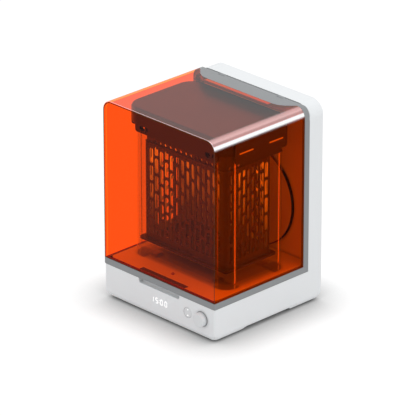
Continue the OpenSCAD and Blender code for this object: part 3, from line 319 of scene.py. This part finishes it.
# %% Metal, rubber, board and light recipes
def metal(name, colour, rough):
    material, tree, out = new_material(name)
    place = add(tree, "ShaderNodeTexCoord")
    stretch = add(tree, "ShaderNodeMapping", {"Vector": (place, "Object"), "Scale": (400.0, 400.0, 30.0)})
    lines = add(tree, "ShaderNodeTexNoise", {"Vector": (stretch, "Vector"), "Scale": 3.0, "Detail": 2.0})
    gloss = add(tree, "ShaderNodeMapRange", {
        "Value": (lines, "Fac"), "To Min": rough - 0.06, "To Max": rough + 0.08,
    })
    shader = add(tree, "ShaderNodeBsdfPrincipled", {
        "Base Color": colour, "Metallic": 1.0, "Roughness": (gloss, "Result"),
    })
    tree.links.new(shader.outputs[0], out.inputs[0])
    return material


def glowing(name, colour, strength):
    material, tree, out = new_material(name)
    shader = add(tree, "ShaderNodeBsdfPrincipled", {
        "Base Color": colour, "Roughness": 0.3, "Emission Color": (1.0, 1.0, 1.0, 1.0), "Emission Strength": strength,
    })
    tree.links.new(shader.outputs[0], out.inputs[0])
    return material


steel = metal("plated_steel", linear(190, 192, 196), 0.3)
aluminium = metal("cast_aluminium", linear(200, 202, 204), 0.42)
rubber = moulded("black_rubber", linear(30, 30, 30), rough=0.75, tone=0.2)
board = moulded("solder_mask", linear(20, 80, 45), rough=0.35, tone=0.25)
lit = glowing("lit_digit", (0.0, 0.0, 0.0, 1.0), 1.35)
lens = moulded("sensor_lens", linear(150, 110, 100), rough=0.08, grain=0.0)
diode = moulded("diode_white", linear(240, 235, 215), rough=0.3)
opal = moulded("opal_diffuser", linear(228, 228, 226), rough=0.35, grain=0.00002)
print("other finishes:", [m.name for m in (steel, aluminium, rubber, board, lit, lens, diode, opal)])

# %% [markdown]
# The basket is dark plastic, but its inside catches the light that comes down past the lid and through the slots.
# That light bounces to and fro between the walls and the shiny liquid marks on them. A face that looks at the
# basket's middle gets this soft uneven glow, strongest near the top, painted in as a faint light of its own, because
# light that bounces so often would be slow to compute. One streak noise sets both the gloss of the liquid marks and
# the patches of painted glow.

# %% Basket finish
def basket_finish():
    material, tree, out = new_material("slotted_basket")
    place = add(tree, "ShaderNodeTexCoord")
    facing = add(tree, "ShaderNodeNewGeometry")
    level = add(tree, "ShaderNodeVectorMath", {0: (place, "Object"), 1: (1.0, 1.0, 0.0)}, operation="MULTIPLY")
    outward = add(tree, "ShaderNodeVectorMath", {0: (level, 0), 1: (facing, "Normal")}, operation="DOT_PRODUCT")
    inward = add(tree, "ShaderNodeMath", {0: (outward, "Value"), 1: -0.02}, operation="LESS_THAN")
    parts = add(tree, "ShaderNodeSeparateXYZ", {"Vector": (place, "Object")})
    height = add(tree, "ShaderNodeMapRange", {"Value": (parts, "Z"), "From Min": 0.115, "From Max": 0.225})
    stretch = add(tree, "ShaderNodeMapping", {"Vector": (place, "Object"), "Scale": (1.0, 1.0, 0.35)})
    streaks_and_glow_patches = add(tree, "ShaderNodeTexNoise", {"Vector": (stretch, "Vector"), "Scale": 70.0, "Detail": 4.0})
    patchy = ramp(tree, (streaks_and_glow_patches, "Fac"), [(0.0, 0.1), (0.38, 0.2), (0.5, 0.6), (0.6, 1.0), (1.0, 1.0)])
    # Painted light: inward faces glow, more towards the top and in patches.
    fall = add(tree, "ShaderNodeMath", {0: (height, "Result"), 1: (patchy, "Color")}, operation="MULTIPLY")
    lift = add(tree, "ShaderNodeMath", {0: (fall, 0), 1: 0.05}, operation="ADD")
    glow = add(tree, "ShaderNodeMath", {0: (lift, 0), 1: (inward, 0)}, operation="MULTIPLY")
    power = add(tree, "ShaderNodeMath", {0: (glow, 0), 1: 1.1}, operation="MULTIPLY")
    gloss = add(tree, "ShaderNodeMapRange", {"Value": (streaks_and_glow_patches, "Fac"), "To Min": 0.2, "To Max": 0.42})
    shader = add(tree, "ShaderNodeBsdfPrincipled", {
        "Base Color": linear(40, 36, 36), "Roughness": (gloss, "Result"),
        "Emission Color": (1.0, 0.46, 0.3, 1.0), "Emission Strength": (power, 0),
    })
    tree.links.new(shader.outputs[0], out.inputs[0])
    return material


basket_skin = basket_finish()
print("basket finish:", basket_skin.name)

# %% [markdown]
# ## Giving finishes to the solids
# Each solid keeps its shape from the CAD model and takes a finish by what it is made of.

# %% Finish of each solid
FINISH = {
    "white_casing": white_plastic,
    "grey_frame": grey_plastic,
    "orange_hood": orange_clear,
    "clear_tank": tank_clear,
    "lamp_glass": opal,
    "dark_plastic": dark_plastic,
    "black_rubber": rubber,
    "black_plastic": black_plastic,
    "plated_steel": steel,
    "cast_aluminium": aluminium,
    "circuit_board": board,
    "led_white": diode,
    "white_stirrer": white_plastic,
}
slot_of = {s["node"]: s["material_slot"] for s in frame["record"]["subparts"]}


def dress(obj, material):
    obj.data.materials.clear()
    obj.data.materials.append(material)


for name, obj in nodes.items():
    dress(obj, FINISH[slot_of[name]])
for name in ("display_digits", "button_lights"):
    dress(nodes[name], lit)
dress(nodes["tank_pads"], foot_clear)
dress(nodes["hood_sensor"], lens)
for name in ("time_knob", "start_button"):
    dress(nodes[name], knob_plastic)
for name in ("basket_front", "basket_rear", "basket_left", "basket_right", "basket_corners"):
    dress(nodes[name], basket_skin)
print("dressed", len(nodes), "solids")

# %% [markdown]
# ## Soft edges
# A moulded edge is never sharp: it has a small radius that catches a line of light. The CAD solids have sharp
# edges where the radius is tiny, so a copy of the solid is merged, its flat triangles are joined into whole faces,
# and its sharp edges are bevelled. The copy then stands for the solid. The other solids keep their CAD mesh.

# %% Copy with rolled edges
def soften(name, radius, segments=3, angle=28):
    source = nodes[name]
    mesh = bmesh.new()
    mesh.from_mesh(source.data)
    bmesh.ops.remove_doubles(mesh, verts=mesh.verts, dist=1e-6)
    bmesh.ops.dissolve_limit(
        mesh, angle_limit=math.radians(1.0), verts=mesh.verts, edges=mesh.edges, use_dissolve_boundaries=False,
    )
    limit = math.radians(angle)
    sharp = [e for e in mesh.edges if len(e.link_faces) == 2 and e.calc_face_angle(0) > limit]
    bmesh.ops.bevel(
        mesh, geom=sharp, offset=radius, offset_type="OFFSET", segments=segments, profile=0.5,
        affect="EDGES", material=-1, clamp_overlap=True,
    )
    copy = bpy.data.meshes.new("soft_" + name)
    mesh.to_mesh(copy)
    mesh.free()
    for face in copy.polygons:
        face.use_smooth = True
    copy.set_sharp_from_angle(angle=math.radians(35))
    obj = bpy.data.objects.new("soft_" + name, copy)
    bpy.context.scene.collection.objects.link(obj)
    flat = obj.modifiers.new("flat faces stay flat", "WEIGHTED_NORMAL")
    flat.weight = 100
    flat.keep_sharp = True
    obj.data.materials.append(source.data.materials[0])
    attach(obj, source["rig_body"])
    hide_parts(name)
    return obj


SOFT_EDGES = {
    "base_shell": 0.0011, "rear_housing": 0.0008, "hood_frame": 0.0006, "hood_shell": 0.0013,
    "time_knob": 0.0006, "start_button": 0.0004, "deck_plate": 0.0008, "tank_pads": 0.0006,
    "latch_left": 0.0006, "latch_right": 0.0006, "basket_plate": 0.0006, "tank": 0.001,
}
soft = {name: soften(name, radius) for name, radius in SOFT_EDGES.items()}
print("softened:", {n: len(o.data.polygons) for n, o in soft.items()})

# %% [markdown]
# ## Glued edge of the hood
# The hood's flat front is glued to the bent sheet. Seen through the acrylic, the glued joint is a mitre from the
# outer corner to the inner one, as deep in colour as the walls beside it. Its outermost edge is drawn as a thin dark
# line, painted shade for the dark that the corner shows. Both follow the outline of the front, so one helper draws
# that outline as a plate, bevels its two top corners round, insets the plate and keeps only the narrow rim.

# %% Sizes of the hood
MM = 0.001
FRONT = -106.25 * MM
HALF_WIDTH = 115 * MM
HOOD_LOW = 64 * MM
HOOD_TOP = 315 * MM
BEND = 16 * MM
print("hood:", 2 * HALF_WIDTH / MM, "mm wide, top at", HOOD_TOP / MM, "mm")


# %% Piece and rim helpers
def new_piece(name, mesh, material, body):
    """Turns a bmesh into a finished piece that rides on a body."""
    data = bpy.data.meshes.new(name)
    mesh.to_mesh(data)
    mesh.free()
    for face in data.polygons:
        face.use_smooth = True
    data.set_sharp_from_angle(angle=math.radians(40))
    obj = bpy.data.objects.new(name, data)
    bpy.context.scene.collection.objects.link(obj)
    data.materials.append(material)
    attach(obj, body)
    return obj


def arch_band(name, start, width, depth, material, drop=0.0):
    """A rim inside the hood's outline, start (and drop at the top) from it, width across and depth backwards."""
    mesh = bmesh.new()
    w, top, y = HALF_WIDTH - start, HOOD_TOP - start - drop, FRONT + start
    verts = [mesh.verts.new(p) for p in ((-w, y, HOOD_LOW), (w, y, HOOD_LOW), (w, y, top), (-w, y, top))]
    mesh.faces.new(verts)
    bmesh.ops.bevel(
        mesh, geom=verts[2:], offset=BEND - start, offset_type="OFFSET", segments=12, profile=0.5,
        affect="VERTICES", material=-1, clamp_overlap=False,
    )
    plate = list(mesh.faces)
    bmesh.ops.inset_region(
        mesh, faces=plate, thickness=width, depth=-depth, use_even_offset=True, use_boundary=True,
    )
    bmesh.ops.delete(mesh, geom=plate, context="FACES")
    return new_piece(name, mesh, material, "hood")


# %% Joint and dark edge
def joint_finish(tree, facing):
    return (0.998, 0.28, 0.003, 1.0), WHITE_SHINE, 0.0, 0.0


seam_tint = clear_wall("glued_joint", joint_finish)
# Painted shade: a thin dark rim along the joint's outer edge.
painted_joint_shade = moulded("joint_edge", linear(40, 26, 26), rough=0.3)
seam = arch_band("hood_glued_joint", 0.1 * MM, 2.8 * MM, 2.8 * MM, seam_tint)
edge = arch_band("hood_joint_edge", 0.06 * MM, 1.4 * MM, 0.2 * MM, painted_joint_shade, drop=1.3 * MM)
print("hood joint faces:", len(seam.data.polygons), len(edge.data.polygons))

# %% [markdown]
# ## Lit ribs in the latch slots
# Each side latch hooks over two short ribs of the clear tank. The ribs' ends are coloured near-white, painted light
# for the bright lines in the latch's dark slots. A rib's end is a flat bar, so it starts as a cube that is scaled and
# has all its edges rolled.

# %% Ribs in the latch slots
# Painted light: a near-white colour stands for the light at the rib ends.
rib_painted_light = moulded("rib_end_painted_light", linear(250, 246, 240), rough=0.25)


def soft_bar(mesh, centre, size, radius):
    """Adds a bar of the given size with rolled edges."""
    made = bmesh.ops.create_cube(mesh, size=1.0)
    bmesh.ops.scale(mesh, verts=made["verts"], vec=size)
    edges = list({e for v in made["verts"] for e in v.link_edges})
    bmesh.ops.translate(mesh, verts=made["verts"], vec=centre)
    bmesh.ops.bevel(
        mesh, geom=edges, offset=radius, offset_type="OFFSET", segments=2, profile=0.5,
        affect="EDGES", material=-1, clamp_overlap=True,
    )


EDGE_ROLL = 0.3 * MM
RIB_OUT = 107.2 * MM
RIB_HEIGHT = 278.5 * MM
RIB_SIZE = (0.9 * MM, 27.4 * MM, 1.9 * MM)
ribs = bmesh.new()
for x in (-RIB_OUT, RIB_OUT):
    for y in (71.5 * MM, 131.5 * MM):
        soft_bar(ribs, (x, FRONT + y, RIB_HEIGHT), RIB_SIZE, EDGE_ROLL)
rib_ends = new_piece("tank_rib_ends", ribs, rib_painted_light, "casing")
print("rib ends:", len(rib_ends.data.polygons), "faces")

# %% [markdown]
# ## Red edge at the tab
# The acrylic ends in a cut edge under the grey tab. A red strip along the tab's front is painted light for the glow
# where light leaves the sheet there. It is a thin bar set into the sheet.

# %% Red edge
CUT_EDGE_PLACE = (0, FRONT + 160.6 * MM, 314.2 * MM)
CUT_EDGE_SIZE = (130 * MM, 8.8 * MM, 1.1 * MM)
# Painted light: the light red stands for the glow at the acrylic's cut edge.
cut_edge_painted_glow = moulded("acrylic_cut_edge", linear(196, 78, 76), rough=0.2, grain=0.0, tone=0.08)
cut = bmesh.new()
soft_bar(cut, CUT_EDGE_PLACE, CUT_EDGE_SIZE, EDGE_ROLL)
cut_edge = new_piece("hood_cut_edge", cut, cut_edge_painted_glow, "hood")
print("red edge:", len(cut_edge.data.polygons), "faces")

# %% [markdown]
# ## Dark strip in the deck
# Behind the hood's front wall the deck has a slot a little longer than the finger notch. A dark strip laid in it is
# painted shade for the slot. It is a thin bar, so the helper that made the rib ends makes it too.

# %% Shade strip in the deck slot
SLOT_SHADE_PLACE = (0, FRONT + 9.8 * MM, 65.2 * MM)
SLOT_SHADE_SIZE = (94.0 * MM, 7.6 * MM, 0.8 * MM)
# Painted shade: a dark strip fills the deck's slot.
slot_shade = moulded("deck_slot_painted_shade", linear(104, 92, 90), rough=0.9, grain=0.0003, grain_size=900.0, tone=0.3)
strip = bmesh.new()
soft_bar(strip, SLOT_SHADE_PLACE, SLOT_SHADE_SIZE, EDGE_ROLL)
slot_shade_strip = new_piece("deck_slot_shade_strip", strip, slot_shade, "casing")
print("foam strip:", len(slot_shade_strip.data.polygons), "faces")

# %% [markdown]
# ## Floor, light and background
# The photograph has a plain white background with a soft dark shadow close round the foot of the unit. The floor is a
# wide disc of white paper. What the camera sees of it is a small part of its real shading and, for the most part, a
# white that darkens only close to the unit: a painted shadow, drawn by ambient occlusion, which is what the narrow
# shadow of a product picture is. The light that bounces off the paper is left as it really is.

# %% Floor
def round_floor(radius):
    mesh = bmesh.new()
    bmesh.ops.create_circle(mesh, cap_ends=True, segments=96, radius=radius)
    data = bpy.data.meshes.new("floor")
    mesh.to_mesh(data)
    mesh.free()
    obj = bpy.data.objects.new("floor", data)
    bpy.context.scene.collection.objects.link(obj)
    return obj


def first_rays(tree):
    """1 for what the camera sees straight, in a mirror or through glass; 0 for light that bounces."""
    path = add(tree, "ShaderNodeLightPath")
    mirrored = add(tree, "ShaderNodeMath", {
        0: (path, "Is Camera Ray"), 1: (path, "Is Glossy Ray"),
    }, operation="MAXIMUM")
    return add(tree, "ShaderNodeMath", {
        0: (mirrored, 0), 1: (path, "Is Transmission Ray"),
    }, operation="MAXIMUM")


FLOOR_RADIUS = 6.0
SHADOW_REACH = 0.068
SHADOW_DEPTH = 1.4
floor = round_floor(FLOOR_RADIUS)
paper, tree, out = new_material("paper_floor")
place = add(tree, "ShaderNodeTexCoord")
grain = add(tree, "ShaderNodeTexNoise", {"Vector": (place, "Object"), "Scale": 900.0, "Detail": 2.0})
tooth = add(tree, "ShaderNodeBump", {"Height": (grain, "Fac"), "Distance": 0.00003, "Strength": 0.3})
matte = add(tree, "ShaderNodeBsdfDiffuse", {"Color": (0.78, 0.78, 0.78, 1.0), "Normal": (tooth, "Normal")})
shaded = add(tree, "ShaderNodeBsdfDiffuse", {"Color": (0.2, 0.2, 0.2, 1.0), "Normal": (tooth, "Normal")})
# Painted shadow: ambient occlusion darkens the white that the camera sees, close round the unit.
near = add(tree, "ShaderNodeAmbientOcclusion", {"Distance": SHADOW_REACH}, samples=16)
close = add(tree, "ShaderNodeMath", {0: (near, "AO"), 1: SHADOW_DEPTH}, operation="POWER")
share = add(tree, "ShaderNodeMath", {0: (close, 0), 1: 0.85}, operation="MULTIPLY")
glow = add(tree, "ShaderNodeEmission", {"Color": (1, 1, 1, 1), "Strength": (share, 0)})
lifted = add(tree, "ShaderNodeAddShader")
tree.links.new(shaded.outputs[0], lifted.inputs[0])
tree.links.new(glow.outputs[0], lifted.inputs[1])
seen = add(tree, "ShaderNodeMixShader", {"Fac": (first_rays(tree), 0)})
tree.links.new(matte.outputs[0], seen.inputs[1])
tree.links.new(lifted.outputs[0], seen.inputs[2])
tree.links.new(seen.outputs[0], out.inputs[0])
floor.data.materials.append(paper)
print("floor radius", FLOOR_RADIUS)

# %% [markdown]
# A plain white studio is an even light from all round. What is seen of it straight is pure white, as the page
# behind the photograph is, and what falls on the unit is a little weaker, so that the white casing stays below
# white.

# %% World
SKY = 0.86
world = bpy.data.worlds.new("studio")
bpy.context.scene.world = world
world.use_nodes = True
sky = world.node_tree
sky.nodes.clear()
sky_out = sky.nodes.new("ShaderNodeOutputWorld")
lit_sky = add(sky, "ShaderNodeBackground", {"Color": (1, 1, 1, 1), "Strength": SKY})
seen_sky = add(sky, "ShaderNodeBackground", {"Color": (1, 1, 1, 1), "Strength": 1.0})
sky_mix = add(sky, "ShaderNodeMixShader", {"Fac": (first_rays(sky), 0)})
sky.links.new(lit_sky.outputs[0], sky_mix.inputs[1])
sky.links.new(seen_sky.outputs[0], sky_mix.inputs[2])
sky.links.new(sky_mix.outputs[0], sky_out.inputs[0])
print("world strength", SKY)

# %% [markdown]
# Three large soft lamps shape the form: the strongest from above, a weaker one from the right and the weakest in
# front. Large lamps far away make no hard shadows.

# %% Lamps
def soft_lamp(name, place, aim, size, power):
    lamp = bpy.data.lights.new(name, "AREA")
    lamp.shape = "RECTANGLE"
    lamp.size, lamp.size_y = size
    lamp.energy = power
    obj = bpy.data.objects.new(name, lamp)
    obj.location = place
    direction = Vector(aim) - Vector(place)
    obj.rotation_euler = direction.to_track_quat("-Z", "Y").to_euler()
    bpy.context.scene.collection.objects.link(obj)
    return obj


soft_lamp("top_softbox", (0.2, 0.3, 2.4), (0, 0, 0.1), (1.6, 1.6), 9.5)
soft_lamp("right_softbox", (2.3, 0.2, 1.0), (0, 0, 0.15), (1.2, 1.2), 4)
soft_lamp("front_softbox", (-0.4, -2.4, 0.9), (0, 0, 0.1), (1.4, 1.4), 0.9)

# %% [markdown]
# ## Last step
# The picture is judged in plain colours, so the view transform is Standard. A ray may pass through up to 32
# clear surfaces.

# %% Finish
bpy.context.scene.view_settings.view_transform = "Standard"
bpy.context.scene.cycles.transparent_max_bounces = 32
